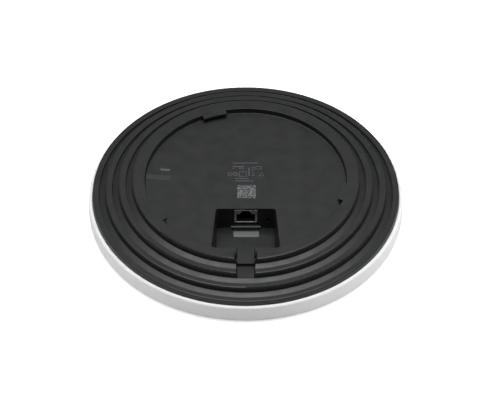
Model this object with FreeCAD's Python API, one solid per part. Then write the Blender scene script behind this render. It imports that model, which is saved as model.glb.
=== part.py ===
import FreeCAD, Part
import math
import os

from FreeCAD import Vector

# Round ceiling access point, in millimetres. +Z points at the ceiling, so the
# white cover faces down and rests on z = 0. The network socket opens towards -Y.
# The origin is on the axis of the disc, at the outer face of the cover.

# ---- driving dimensions ----------------------------------------------------

# Bayonet pocket for the ceiling bracket, in the plateau of the back housing
pocket_r = 66.0
pocket_depth = 3.7
pocket_draft = 0.5
pocket_floor_round = 0.3
pocket_edge_round = 0.25
plateau_rim = 8.4
lug_reach = 3.1
lug_thickness = 1.6
lug_angle = 14.2
lug_centres = (108.5, 207.6, 350.5)

# Back housing: a plateau with three rings that step down to the rim
housing_wall = 2.2
ring_count = 3
ring_step = 4.5
ring_flat = 4.0
ring_cone = 4.77
riser_height = 4.2
riser_draft = 0.5
cone_drop = 1.4
groove_draft = 0.15
edge_round = 1.0
rim_rise = 3.6
skirt_gap = 2.6

# Front cover
housing_gap = 0.2
cover_wall = 2.09
cover_face = 2.3
cover_edge_round = 4.5
cover_lip_round = 1.7
cover_inner_round = 2.2

# Snap ring between cover and housing
snap_count = 6
snap_angle = 12.0
snap_rise = 2.0
snap_height = 1.2
snap_depth = 0.65
snap_clearance = 0.15

# Ramp and detent that the bracket's sprung tongue clicks into
ramp_angle = 174.4
ramp_wall_bite = 0.2
ramp_length = 16.2
ramp_width = 4.2
ramp_near_rise = 0.1
ramp_far_rise = 0.45
detent_length = 6.4
detent_width = 6.6
detent_depth = 0.6
detent_inset = 1.2
detent_slope = 1.2

# Recess for the cable plug
recess_far_y = -23.5
recess_rim_margin = 6.0
recess_far_half = 19.6
recess_near_half = 22.8
recess_floor_half = 19.2
recess_end_draft = 0.9
recess_corner_round = 2.0
sill_side = 3.0
sill_foot_side = 0.4
sill_foot_gap = 0.2
sill_reach = 1.8
sill_thickness = 1.9
sill_round = 0.4
sill_nose_round = 1.7

# Cable channel from the recess to the rim
channel_width = 11.0
channel_flare = 2.4
channel_depth = 6.2
channel_step = 2.1
channel_step_inset = 2.1

# Network socket
jack_width = 15.2
jack_height = 11.6
jack_length = 16.0
jack_front_inset = 0.1
jack_gap = 0.4
jack_roof = 1.1
jack_roof_gap = 0.2
jack_sheet = 0.3
mouth_width = 12.2
mouth_height = 7.1
mouth_sill = 0.9
mouth_depth = 12.5
latch_width = 7.2
latch_height = 1.5
latch_top_width = 4.8
latch_top_height = 1.4
insert_gap = 0.05
contact_count = 8
contact_pitch = 1.02
contact_size = 0.35
contact_rise = 2.2
contact_inset = 3.0

# Main board
board_thickness = 1.6
board_rim_gap = 4.7
board_sill_gap = 0.1
board_notch_gap = 0.5
board_tongue_gap = 0.8

# Reset button behind the pinhole
reset_offset = 7.25
reset_height = 2.9
reset_hole_r = 1.4
reset_stem_r = 1.0
reset_stem_gap = 0.05
reset_stem_length = 4.4
reset_tip_round = 0.3
reset_travel = 0.4
reset_end_gap = 0.2
reset_switch_width = 6.4
reset_switch_length = 4.0
reset_switch_height = 5.6
reset_switch_gap = 0.6

# Screws: board to housing, and antenna plate to board
boss_r = 3.2
screw_r = 1.2
screw_hole_gap = 0.05
screw_board_gap = 0.2
screw_engage = 6.0
screw_end_gap = 0.5
screw_head_r = 2.4
screw_head_height = 1.5
screw_head_round = 0.5
drive_arm = 1.3
drive_slot = 0.5
drive_depth = 0.7
board_screw_out = 4.1
board_screw_angles = (20.0, 65.0, 115.0, 160.0, 200.0, 243.0, 297.0, 340.0)
spacer_r = 2.6
spacer_cap = 0.8
spacer_circle_r = 44.0
spacer_angles = (25.0, 90.0, 155.0, 205.0, 335.0)

# Antenna plate and antennas
plate_screw_gap = 4.1
plate_thickness = 0.8
plate_gap = 0.5
plate_rim_height = 1.0
antenna_count = 4
antenna_turn = 45.0
antenna_sheet = 0.4
antenna_height = 3.2
antenna_clearance = 1.7
antenna_leg_width = 3.0
low_antenna_length = 26.0
low_antenna_width = 8.0
low_antenna_circle_r = 56.0
high_antenna_length = 14.0
high_antenna_width = 6.0
high_antenna_circle_r = 42.0
holder_size = 4.0
feed_leg_gap = 5.0
feed_pin_r = 0.5
feed_hole_r = 1.5

# Status light
led_size = 3.0
led_height = 0.9
guide_r = 2.3
guide_flange_r = 3.6
guide_flange_height = 1.0
guide_gap = 0.3
window_r = 3.2
window_skin = 0.9
window_boss_wall = 1.2
window_boss_height = 3.0

# Shield cans, chips and pads: a can is its place and its size in plan
can_height = 3.2
can_sheet = 0.25
pad_thickness = 0.8
pedestal_inset = 3.0
chip_height = 1.4
processor_can = (-30.0, 22.0, 38.0, 32.0)
low_radio_can = (32.0, 26.0, 28.0, 24.0)
high_radio_can = (-46.0, -18.0, 26.0, 22.0)
processor_size = 19.0
processor_shift = 6.5
memory_gap = 1.0
memory_length = 13.0
memory_width = 8.0
memory_height = 1.1
radio_chip_size = 10.0
transformer_size = (15.4, 11.5, 6.0)
transformer_gap = 1.5
network_chip_place = (20.0, 4.0)
network_chip_size = 9.0
flash_chip_place = (-2.0, 20.0)
flash_chip_length = 8.0
flash_chip_width = 6.0
power_chip_place = (44.0, -2.0)
power_chip_size = 5.0
inductor_places = ((38.0, -12.0), (48.0, -13.0), (54.0, -3.0))
inductor_size = 7.0
inductor_height = 4.2
inductor_bevel = 0.6
capacitor_places = ((58.0, -16.0), (62.0, 8.0), (34.0, -26.0))
capacitor_r = 4.0
capacitor_height = 5.0
capacitor_foot = 0.8
capacitor_can_inset = 0.1
crystal_places = ((-2.0, 32.0), (10.0, 14.0))
crystal_length = 5.0
crystal_width = 3.2
crystal_height = 1.2

# How far fused pieces bite into each other, and how far cutters run past a face
overlap = 0.5
past = 1.0

# ---- sizes worked out from the ones above ----------------------------------

# Heights, stacked upwards from the outer face of the cover
antenna_z = cover_face + antenna_clearance
plate_bottom_z = antenna_z + antenna_height
plate_top_z = plate_bottom_z + plate_thickness
recess_under_z = plate_top_z + plate_gap
recess_z = recess_under_z + housing_wall
sill_low_z = recess_z + sill_foot_gap
sill_top_z = sill_low_z + sill_thickness
board_bottom_z = sill_top_z + board_sill_gap
board_top_z = board_bottom_z + board_thickness
jack_top_z = board_top_z + jack_height
jack_roof_z = jack_top_z + jack_roof_gap
pocket_z = jack_roof_z + jack_roof
plateau_z = pocket_z + pocket_depth
rim_z = plateau_z - ring_count * ring_step
cover_height = rim_z - rim_rise
ceiling_z = pocket_z - housing_wall
skirt_z = cover_face + skirt_gap
snap_z = skirt_z + snap_rise
channel_z = plateau_z - channel_depth
channel_low_z = channel_z - channel_step
mouth_z = board_top_z + mouth_sill
reset_z = board_top_z + reset_height
can_top_z = board_top_z + can_height
pedestal_z = can_top_z + pad_thickness
first_ring_under_z = plateau_z - riser_height - cone_drop - housing_wall

# Radii, outwards from the pocket
plateau_r = pocket_r + plateau_rim
ring_pitch = ring_flat + ring_cone
housing_r = plateau_r + ring_count * ring_pitch
cover_inner_r = housing_r + housing_gap
cover_r = cover_inner_r + cover_wall
lug_r = pocket_r - lug_reach
board_r = plateau_r + 2 * ring_pitch - housing_wall - board_rim_gap
board_screw_circle_r = plateau_r + board_screw_out
plate_r = board_screw_circle_r - screw_head_r - plate_screw_gap

# Places along Y, from the recess
recess_near_y = recess_rim_margin - pocket_r
recess_wall_inner_y = recess_far_y + housing_wall
channel_step_y = channel_step_inset - plateau_r
jack_front_y = recess_far_y - jack_front_inset
jack_back_y = jack_front_y + jack_length
sill_front_y = recess_far_y - recess_end_draft - sill_reach
switch_front_y = recess_wall_inner_y + reset_switch_gap
stem_front_y = recess_wall_inner_y - housing_wall / 2.0
reset_x = jack_width / 2.0 + reset_offset


# ---- shape helpers ---------------------------------------------------------

def block(x_low, x_high, y_low, y_high, z_low, z_high):
    """An upright box between two corners."""
    corner = Vector(x_low, y_low, z_low)
    return Part.makeBox(x_high - x_low, y_high - y_low, z_high - z_low, corner)


def centred_block(place, size_x, size_y, z_low, height):
    """An upright box centred on a place in plan."""
    corner = Vector(place[0] - size_x / 2.0, place[1] - size_y / 2.0, z_low)
    return Part.makeBox(size_x, size_y, height, corner)


def rod(radius, place, z_low, z_high):
    """An upright cylinder."""
    return Part.makeCylinder(radius, z_high - z_low, Vector(place[0], place[1], z_low))


def on_circle(radius, angle):
    """The place at an angle on a circle about the axis, in plan."""
    turn = math.radians(angle)
    return (radius * math.cos(turn), radius * math.sin(turn))


def rounded_wire(corners):
    """A closed wire through (point, radius) corners, each radius as an arc."""
    edges = []
    ends = []
    count = len(corners)
    for index in range(count):
        point, radius = corners[index]
        before = (corners[index - 1][0] - point).normalize()
        after = (corners[(index + 1) % count][0] - point).normalize()
        if radius <= 0.0:
            ends.append((point, point, None))
            continue
        half_turn = before.getAngle(after) / 2.0
        reach = radius / math.tan(half_turn)
        bisector = (before + after).normalize()
        centre = point + bisector * (radius / math.sin(half_turn))
        middle = centre - bisector * radius
        ends.append((point + before * reach, point + after * reach, middle))
    for index in range(count):
        start, finish, middle = ends[index]
        if middle is not None:
            edges.append(Part.Arc(start, middle, finish).toShape())
        following = ends[(index + 1) % count][0]
        edges.append(Part.LineSegment(finish, following).toShape())
    return Part.Wire(edges)


def turned(profile):
    """A solid of revolution from (radius, height, round) corners."""
    corners = [(Vector(radius, 0, height), rounding) for radius, height, rounding in profile]
    return Part.Face(rounded_wire(corners)).revolve(Vector(0, 0, 0), Vector(0, 0, 1), 360)


def ring(inner_r, outer_r, z_low, z_high):
    """A plain ring about the axis."""
    return rod(outer_r, (0, 0), z_low, z_high).cut(rod(inner_r, (0, 0), z_low - past, z_high + past))


def ring_sector(inner_r, outer_r, z_low, z_high, middle_angle, angle):
    """A piece of a ring, centred on an angle."""
    profile = [
        (Vector(inner_r, 0, z_low), 0),
        (Vector(outer_r, 0, z_low), 0),
        (Vector(outer_r, 0, z_high), 0),
        (Vector(inner_r, 0, z_high), 0),
    ]
    sector = Part.Face(rounded_wire(profile)).revolve(Vector(0, 0, 0), Vector(0, 0, 1), angle)
    sector.rotate(Vector(0, 0, 0), Vector(0, 0, 1), middle_angle - angle / 2.0)
    return sector


def bar_from_section(points, y_low, y_high, rounding=0.0):
    """A straight bar along Y from an outline of (x, z) points."""
    corners = [(Vector(x, y_low, z), rounding) for x, z in points]
    return Part.Face(rounded_wire(corners)).extrude(Vector(0, y_high - y_low, 0))


def one_solid(shape):
    """The single solid of a fused shape, with its seams merged."""
    return shape.removeSplitter().Solids[0]


def group(solids):
    """Like pieces kept as separate solids."""
    return Part.makeCompound(solids)


# ---- covers ----------------------------------------------------------------

def make_front_cover():
    """White dish with a rounded lip, snap ribs and a thinned window for the light."""
    dish = turned([
        (0, 0, 0),
        (cover_r, 0, cover_edge_round),
        (cover_r, cover_height, cover_lip_round),
        (cover_inner_r, cover_height, 0),
        (cover_inner_r, cover_face, cover_inner_round),
        (0, cover_face, 0),
    ])
    boss_top = cover_face + window_boss_height
    dish = dish.fuse(ring(window_r, window_r + window_boss_wall, cover_face - overlap, boss_top))
    dish = dish.cut(rod(window_r, (0, 0), window_skin, cover_face + past))
    for index in range(snap_count):
        middle = 90.0 + index * 360.0 / snap_count
        rib = ring_sector(cover_inner_r - snap_depth, cover_inner_r + overlap,
                          snap_z, snap_z + snap_height, middle, snap_angle)
        dish = dish.fuse(rib)
    return one_solid(dish)


def housing_outline():
    """Corners of the stepped outer surface, from the axis to the foot of the skirt."""
    corners = [
        (0, pocket_z, 0),
        (pocket_r, pocket_z, pocket_floor_round),
        (pocket_r + pocket_draft, plateau_z, pocket_edge_round),
    ]
    for index in range(ring_count):
        level = plateau_z - index * ring_step
        edge = plateau_r + index * ring_pitch
        flat_start = edge + ring_pitch - ring_flat
        cone_low = level - riser_height - cone_drop
        corners.append((edge, level, edge_round))
        corners.append((edge + riser_draft, level - riser_height, 0))
        corners.append((flat_start - groove_draft, cone_low, 0))
        corners.append((flat_start, level - ring_step, 0))
    corners.append((housing_r, rim_z, edge_round))
    corners.append((housing_r, skirt_z, 0))
    return corners


def housing_lining():
    """Corners of the stepped inner surface, from the skirt back to the axis."""
    radius = housing_r - housing_wall
    corners = [(radius, skirt_z, 0)]
    for index in reversed(range(ring_count)):
        level = plateau_z - index * ring_step
        under = level - riser_height - cone_drop - housing_wall
        corners.append((radius, under, 0))
        radius = plateau_r + index * ring_pitch - housing_wall
        corners.append((radius, under, 0))
    corners.append((radius, ceiling_z, 0))
    corners.append((0, ceiling_z, 0))
    return corners


def recess_solid(growth, z_low, z_high):
    """The flared recess between two heights, grown sideways by a wall."""
    share_low = (z_low - recess_z) / (pocket_z - recess_z)
    share_high = (z_high - recess_z) / (pocket_z - recess_z)
    wires = []
    for share, height in ((share_low, z_low), (share_high, z_high)):
        lean = recess_end_draft * (1.0 - share)
        far = recess_far_y - lean + growth
        near = recess_near_y + lean - growth
        far_half = recess_floor_half + (recess_far_half - recess_floor_half) * share + growth
        near_half = recess_floor_half + (recess_near_half - recess_floor_half) * share + growth
        corners = [
            (Vector(-far_half, far, height), recess_corner_round + growth),
            (Vector(far_half, far, height), recess_corner_round + growth),
            (Vector(near_half, near, height), recess_corner_round + growth),
            (Vector(-near_half, near, height), recess_corner_round + growth),
        ]
        wires.append(rounded_wire(corners))
    return Part.makeLoft(wires, True, True)


def make_sill():
    """Chin with a rounded nose under the socket, which covers the edge of the board."""
    top = jack_width / 2.0 + sill_side
    foot = jack_width / 2.0 + sill_foot_side
    outline = [(-top, sill_top_z), (top, sill_top_z), (foot, sill_low_z), (-foot, sill_low_z)]
    bar = bar_from_section(outline, sill_front_y, recess_wall_inner_y, sill_round)
    nose = rounded_wire([
        (Vector(-top, sill_front_y, sill_low_z), 0),
        (Vector(-top, recess_wall_inner_y, sill_low_z), 0),
        (Vector(-top, recess_wall_inner_y, sill_top_z), 0),
        (Vector(-top, sill_front_y, sill_top_z), sill_nose_round),
    ])
    return bar.common(Part.Face(nose).extrude(Vector(2.0 * top, 0, 0)))


def channel_cut(z_floor, y_low, y_high):
    """Trapezoid groove that the cable lies in."""
    foot = channel_width / 2.0
    top = foot + channel_flare
    z_top = plateau_z + past
    outline = [(-foot, z_floor), (foot, z_floor), (top, z_top), (-top, z_top)]
    return bar_from_section(outline, y_low, y_high)


def add_cable_way(housing):
    """Walls and floors of the recess and of the channel, then their hollows."""
    half = channel_width / 2.0 + channel_flare + housing_wall
    outlet_y = edge_round - plateau_r - ring_pitch
    well = recess_solid(housing_wall, recess_under_z, pocket_z - overlap)
    high_trough = block(-half, half, channel_step_y - housing_wall, recess_near_y,
                        channel_z - housing_wall, ceiling_z + overlap)
    low_trough = block(-half, half, outlet_y, channel_step_y,
                       channel_low_z - housing_wall, channel_z - overlap)
    housing = housing.fuse([well, high_trough, low_trough])
    housing = housing.cut(recess_solid(0.0, recess_z, plateau_z + past))
    housing = housing.fuse(make_sill())
    housing = housing.cut(channel_cut(channel_z, channel_step_y, recess_near_y + past))
    return housing.cut(channel_cut(channel_low_z, outlet_y - ring_flat, channel_step_y))


def add_socket_window(housing):
    """Window for the socket and its board edge, and the pinhole beside it."""
    half = jack_width / 2.0 + jack_gap
    window = block(-half, half, sill_front_y - past, jack_back_y + past, sill_top_z, jack_roof_z)
    hole_front_y = recess_far_y - recess_end_draft - past
    pinhole = Part.makeCylinder(reset_hole_r, recess_wall_inner_y + past - hole_front_y,
                                Vector(reset_x, hole_front_y, reset_z), Vector(0, 1, 0))
    return housing.cut([window, pinhole])


def wedge(profile, x_low, x_high):
    """A bar along X from an outline of (y, z) points."""
    corners = [(Vector(x_low, y, z), 0) for y, z in profile]
    return Part.Face(rounded_wire(corners)).extrude(Vector(x_high - x_low, 0, 0))


def add_bayonet(housing):
    """Three lugs over the pocket, and the ramp and detent of the lock."""
    lug_outer_r = pocket_r + pocket_draft + overlap
    for centre in lug_centres:
        lug = ring_sector(lug_r, lug_outer_r, plateau_z - lug_thickness, plateau_z, centre, lug_angle)
        housing = housing.fuse(lug)
    half = ramp_width / 2.0
    outer = ramp_wall_bite - pocket_r
    inner = outer + ramp_length
    ramp = wedge([
        (-half, pocket_z - overlap),
        (half, pocket_z - overlap),
        (half, pocket_z + ramp_far_rise),
        (-half, pocket_z + ramp_near_rise),
    ], outer, inner)
    far = half + detent_width
    detent = wedge([
        (half, pocket_z - detent_depth),
        (far - detent_slope, pocket_z - detent_depth),
        (far, pocket_z),
        (far, pocket_z + past),
        (half, pocket_z + past),
    ], inner - detent_inset - detent_length, inner - detent_inset)
    for shape in (ramp, detent):
        shape.rotate(Vector(0, 0, 0), Vector(0, 0, 1), ramp_angle - 180.0)
    return housing.fuse(ramp).cut(detent)


def add_pedestals(housing):
    """Blocks that reach down from the pocket floor to the pads on the shield cans."""
    for x, y, size_x, size_y in (processor_can, low_radio_can, high_radio_can):
        pedestal = centred_block((x, y), size_x - 2 * pedestal_inset, size_y - 2 * pedestal_inset,
                                 pedestal_z, ceiling_z + overlap - pedestal_z)
        housing = housing.fuse(pedestal)
    return housing


def add_bosses(housing):
    """Bored screw bosses that carry the board."""
    bosses = []
    holes = []
    for angle in board_screw_angles:
        place = on_circle(board_screw_circle_r, angle)
        bosses.append(rod(boss_r, place, board_top_z, first_ring_under_z + overlap))
        hole_top = board_top_z + screw_engage + screw_end_gap
        holes.append(rod(screw_r + screw_hole_gap, place, board_top_z - past, hole_top))
    return housing.fuse(bosses).cut(holes)


def make_back_housing():
    """Dark stepped casting with the bracket pocket, the cable way and the screw bosses."""
    housing = turned(housing_outline() + housing_lining())
    core = ring(pocket_r + housing_wall, plateau_r - housing_wall, ceiling_z - past, plateau_z - housing_wall)
    housing = housing.cut(core)
    groove = ring(housing_r - snap_depth, housing_r + past, snap_z - snap_clearance,
                  snap_z + snap_height + snap_clearance)
    housing = housing.cut(groove)
    housing = add_cable_way(housing)
    housing = add_pedestals(housing)
    housing = add_bosses(housing)
    housing = add_socket_window(housing)
    housing = add_bayonet(housing)
    return one_solid(housing)


# ---- network socket --------------------------------------------------------

def mouth_outline():
    """Socket mouth with the stepped latch slot at its top, as (x, z) points."""
    half = mouth_width / 2.0
    latch_half = latch_width / 2.0
    tip_half = latch_top_width / 2.0
    shoulder = mouth_z + mouth_height
    step = shoulder + latch_height
    tip = step + latch_top_height
    return [
        (-half, mouth_z), (half, mouth_z), (half, shoulder), (latch_half, shoulder),
        (latch_half, step), (tip_half, step), (tip_half, tip), (-tip_half, tip),
        (-tip_half, step), (-latch_half, step), (-latch_half, shoulder), (-half, shoulder),
    ]


def make_jack_shell():
    """Folded metal shield round the socket, open below and at the mouth."""
    half = jack_width / 2.0
    shell = block(-half, half, jack_front_y, jack_back_y, board_top_z, jack_top_z)
    inner = block(-half + jack_sheet, half - jack_sheet, jack_front_y + jack_sheet, jack_back_y - jack_sheet,
                  board_top_z - past, jack_top_z - jack_sheet)
    mouth = bar_from_section(mouth_outline(), jack_front_y - past, jack_front_y + jack_sheet + past)
    return one_solid(shell.cut([inner, mouth]))


def make_jack_insert():
    """Black plastic core with the mouth and the slots of the contacts."""
    half = jack_width / 2.0 - jack_sheet - insert_gap
    front = jack_front_y + jack_sheet + insert_gap
    back = jack_back_y - jack_sheet - insert_gap
    core = block(-half, half, front, back, board_top_z, jack_top_z - jack_sheet - insert_gap)
    mouth = bar_from_section(mouth_outline(), front - past, front + mouth_depth)
    return one_solid(core.cut(mouth))


def make_jack_contacts():
    """Eight sprung wires that rise from the floor of the mouth to its back wall."""
    front = jack_front_y + contact_inset
    back = jack_front_y + jack_sheet + insert_gap + mouth_depth
    wires = []
    for index in range(contact_count):
        x = (index - (contact_count - 1) / 2.0) * contact_pitch - contact_size / 2.0
        outline = [
            Vector(x, front, mouth_z),
            Vector(x, front + contact_size * 2.0, mouth_z),
            Vector(x, back, mouth_z + contact_rise - contact_size),
            Vector(x, back, mouth_z + contact_rise),
            Vector(x, back - contact_size, mouth_z + contact_rise),
            Vector(x, front, mouth_z + contact_size),
        ]
        face = Part.Face(rounded_wire([(point, 0) for point in outline]))
        wires.append(face.extrude(Vector(contact_size, 0, 0)))
    return group(wires)


# ---- board and what is on it -----------------------------------------------

def make_main_board():
    """Round board with a notch for the recess and a tongue under the socket."""
    board = rod(board_r, (0, 0), board_bottom_z, board_top_z)
    notch_half = recess_near_half + housing_wall + board_notch_gap
    notch_y = recess_wall_inner_y + board_notch_gap
    notch = block(-notch_half, notch_half, -board_r - past, notch_y,
                  board_bottom_z - past, board_top_z + past)
    board = board.cut(notch)
    tongue_half = jack_width / 2.0
    tongue = block(-tongue_half, tongue_half, jack_front_y + board_tongue_gap, notch_y + overlap,
                   board_bottom_z, board_top_z)
    board = board.fuse(tongue)
    holes = []
    for angle in board_screw_angles:
        place = on_circle(board_screw_circle_r, angle)
        holes.append(rod(screw_r + screw_board_gap, place, board_bottom_z - past, board_top_z + past))
    return one_solid(board.cut(holes))


def make_can(place):
    """Shield can, a thin metal lid with four walls."""
    x, y, size_x, size_y = place
    can = centred_block((x, y), size_x, size_y, board_top_z, can_height)
    room = centred_block((x, y), size_x - 2 * can_sheet, size_y - 2 * can_sheet,
                         board_top_z - past, can_height + past - can_sheet)
    return can.cut(room)


def make_chip(place, size_x, size_y, height=chip_height):
    """Flat component on the upper face of the board."""
    return centred_block(place, size_x, size_y, board_top_z, height)


def processor_place():
    """The processor stands off the middle of its can, to leave room for the memory."""
    return (processor_can[0] - processor_shift, processor_can[1])


def make_memory_chips():
    """Two memory chips in the processor's can."""
    x = processor_place()[0] + (processor_size + memory_width) / 2.0 + memory_gap
    spread = (memory_length + memory_gap) / 2.0
    places = [(x, processor_can[1] + side * spread) for side in (-1, 1)]
    return group([make_chip(place, memory_width, memory_length, memory_height) for place in places])


def make_thermal_pads():
    """Soft pads on the chips and between the cans and the housing."""
    chips = (
        (processor_place(), processor_size, processor_can),
        (low_radio_can, radio_chip_size, low_radio_can),
        (high_radio_can, radio_chip_size, high_radio_can),
    )
    under_lid = can_height - can_sheet - chip_height
    pads = []
    for place, size, can in chips:
        pads.append(centred_block(place, size, size, board_top_z + chip_height, under_lid))
        pads.append(centred_block(can, can[2] - 2 * pedestal_inset, can[3] - 2 * pedestal_inset,
                                  can_top_z, pad_thickness))
    return group(pads)


def make_transformer():
    """Isolating transformer block behind the socket."""
    size_x, size_y, height = transformer_size
    y = jack_back_y + transformer_gap + size_y / 2.0
    return make_chip((0.0, y), size_x, size_y, height)


def make_capacitors():
    """Round capacitors of the power stage, each on a square foot."""
    pieces = []
    for place in capacitor_places:
        foot = make_chip(place, 2 * capacitor_r, 2 * capacitor_r, capacitor_foot)
        can = rod(capacitor_r - capacitor_can_inset, place, board_top_z + capacitor_foot / 2.0,
                  board_top_z + capacitor_height)
        pieces.append(foot.fuse(can))
    return group(pieces)


def make_inductors():
    """Moulded power coils with bevelled tops."""
    pieces = []
    for place in inductor_places:
        coil = make_chip(place, inductor_size, inductor_size, inductor_height)
        top_edges = [edge for edge in coil.Edges if edge.BoundBox.ZMin > board_top_z + inductor_height / 2.0]
        pieces.append(coil.makeChamfer(inductor_bevel, top_edges))
    return group(pieces)


def make_reset_switch():
    """Switch body with the bore that the button slides in."""
    half = reset_switch_width / 2.0
    body = block(reset_x - half, reset_x + half, switch_front_y, switch_front_y + reset_switch_length,
                 board_top_z, board_top_z + reset_switch_height)
    bore_end_y = stem_front_y + reset_stem_length + reset_travel + reset_end_gap
    bore = Part.makeCylinder(reset_stem_r + reset_stem_gap, bore_end_y - switch_front_y + past,
                             Vector(reset_x, switch_front_y - past, reset_z), Vector(0, 1, 0))
    return body.cut(bore)


def make_reset_button():
    """Stem that a pin pushes inwards, with a rounded tip."""
    stem = Part.makeCylinder(reset_stem_r, reset_stem_length, Vector(reset_x, stem_front_y, reset_z),
                             Vector(0, 1, 0))
    tip = [edge for edge in stem.Edges if edge.BoundBox.YMax < stem_front_y + reset_tip_round]
    return stem.makeFillet(reset_tip_round, tip)


# ---- fasteners and the antenna side ----------------------------------------

def make_screw(place, seat_z, reach):
    """Pan-head screw that goes in upwards, its head under the seat."""
    head_z = seat_z - screw_head_height
    head = rod(screw_head_r, place, head_z, seat_z)
    middle_z = head_z + screw_head_height / 2.0
    low_edge = [edge for edge in head.Edges if edge.BoundBox.ZMax < middle_z]
    head = head.makeFillet(screw_head_round, low_edge)
    shank = rod(screw_r, place, seat_z - overlap, seat_z + reach)
    cross = centred_block(place, 2 * drive_arm, drive_slot, head_z - past, drive_depth + past)
    cross = cross.fuse(centred_block(place, drive_slot, 2 * drive_arm, head_z - past, drive_depth + past))
    return head.fuse(shank).cut(cross)


def make_board_screws():
    """Screws that hold the board to the housing's bosses."""
    screws = []
    for angle in board_screw_angles:
        place = on_circle(board_screw_circle_r, angle)
        screws.append(make_screw(place, board_bottom_z, board_thickness + screw_engage))
    return group(screws)


def make_plate_spacers():
    """Posts between the board and the antenna plate, bored for their screws."""
    spacers = []
    for angle in spacer_angles:
        place = on_circle(spacer_circle_r, angle)
        post = rod(spacer_r, place, plate_top_z, board_bottom_z)
        bore = rod(screw_r + screw_hole_gap, place, plate_top_z - past, board_bottom_z - spacer_cap)
        spacers.append(post.cut(bore))
    return group(spacers)


def make_plate_screws():
    """Screws that hold the antenna plate to its spacers."""
    reach = board_bottom_z - spacer_cap - screw_end_gap - plate_bottom_z
    places = [on_circle(spacer_circle_r, angle) for angle in spacer_angles]
    return group([make_screw(place, plate_bottom_z, reach) for place in places])


def antenna_sets():
    """Length, width and circle of each kind of antenna."""
    return (
        (low_antenna_length, low_antenna_width, low_antenna_circle_r),
        (high_antenna_length, high_antenna_width, high_antenna_circle_r),
    )


def antenna_angles():
    """Even turns round the axis, clear of the recess."""
    return [antenna_turn + index * 360.0 / antenna_count for index in range(antenna_count)]


def turned_to(shape, angle):
    """A shape made on the +X axis, turned to its angle about Z."""
    shape.rotate(Vector(0, 0, 0), Vector(0, 0, 1), angle)
    return shape


def feed_place(circle_r, length, angle):
    """Where the feed pin of an antenna stands."""
    outward = Vector(*on_circle(1.0, angle), 0)
    sideways = Vector(*on_circle(1.0, angle - 90.0), 0)
    place = outward * circle_r + sideways * (length / 2.0 - feed_leg_gap)
    return (place.x, place.y)


def make_reflector_plate():
    """Stamped disc with a folded rim, and holes for the feeds, screws and light."""
    plate = rod(plate_r, (0, 0), plate_bottom_z, plate_top_z)
    rim = ring(plate_r - plate_thickness, plate_r, plate_bottom_z - plate_rim_height, plate_top_z)
    plate = plate.fuse(rim)
    places = [((0, 0), guide_r + guide_gap)]
    for angle in spacer_angles:
        places.append((on_circle(spacer_circle_r, angle), screw_r + screw_board_gap))
    for length, width, circle_r in antenna_sets():
        for angle in antenna_angles():
            places.append((feed_place(circle_r, length, angle), feed_hole_r))
    holes = [rod(radius, place, plate_bottom_z - past, plate_top_z + past) for place, radius in places]
    return one_solid(plate.cut(holes))


def make_antennas(length, width, circle_r):
    """Folded sheet antennas: a strip under the plate with a grounding leg at one end."""
    pieces = []
    for angle in antenna_angles():
        strip = block(circle_r - width / 2.0, circle_r + width / 2.0, -length / 2.0, length / 2.0,
                      antenna_z, antenna_z + antenna_sheet)
        leg = block(circle_r - antenna_leg_width / 2.0, circle_r + antenna_leg_width / 2.0,
                    -length / 2.0, -length / 2.0 + antenna_sheet, antenna_z, plate_bottom_z)
        pieces.append(turned_to(one_solid(strip.fuse(leg)), angle))
    return group(pieces)


def make_antenna_holders():
    """Plastic posts that hold the free end of each antenna off the plate."""
    pieces = []
    for length, width, circle_r in antenna_sets():
        for angle in antenna_angles():
            place = (circle_r, length / 2.0 - holder_size / 2.0)
            post = centred_block(place, holder_size, holder_size, antenna_z + antenna_sheet,
                                 antenna_height - antenna_sheet)
            pieces.append(turned_to(post, angle))
    return group(pieces)


def make_feed_pins():
    """Pins that carry the signal from the board to the antennas."""
    pins = []
    for length, width, circle_r in antenna_sets():
        for angle in antenna_angles():
            place = feed_place(circle_r, length, angle)
            pins.append(rod(feed_pin_r, place, antenna_z + antenna_sheet, board_bottom_z))
    return group(pins)


def make_light_guide():
    """Clear rod from the light on the board to the window in the cover."""
    top = board_bottom_z - led_height - guide_gap
    low = window_skin + guide_gap
    flange_low = plate_top_z + guide_gap
    stem = rod(guide_r, (0, 0), low, top)
    flange = rod(guide_flange_r, (0, 0), flange_low, flange_low + guide_flange_height)
    return one_solid(stem.fuse(flange))


# ---- all nodes -------------------------------------------------------------

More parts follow.
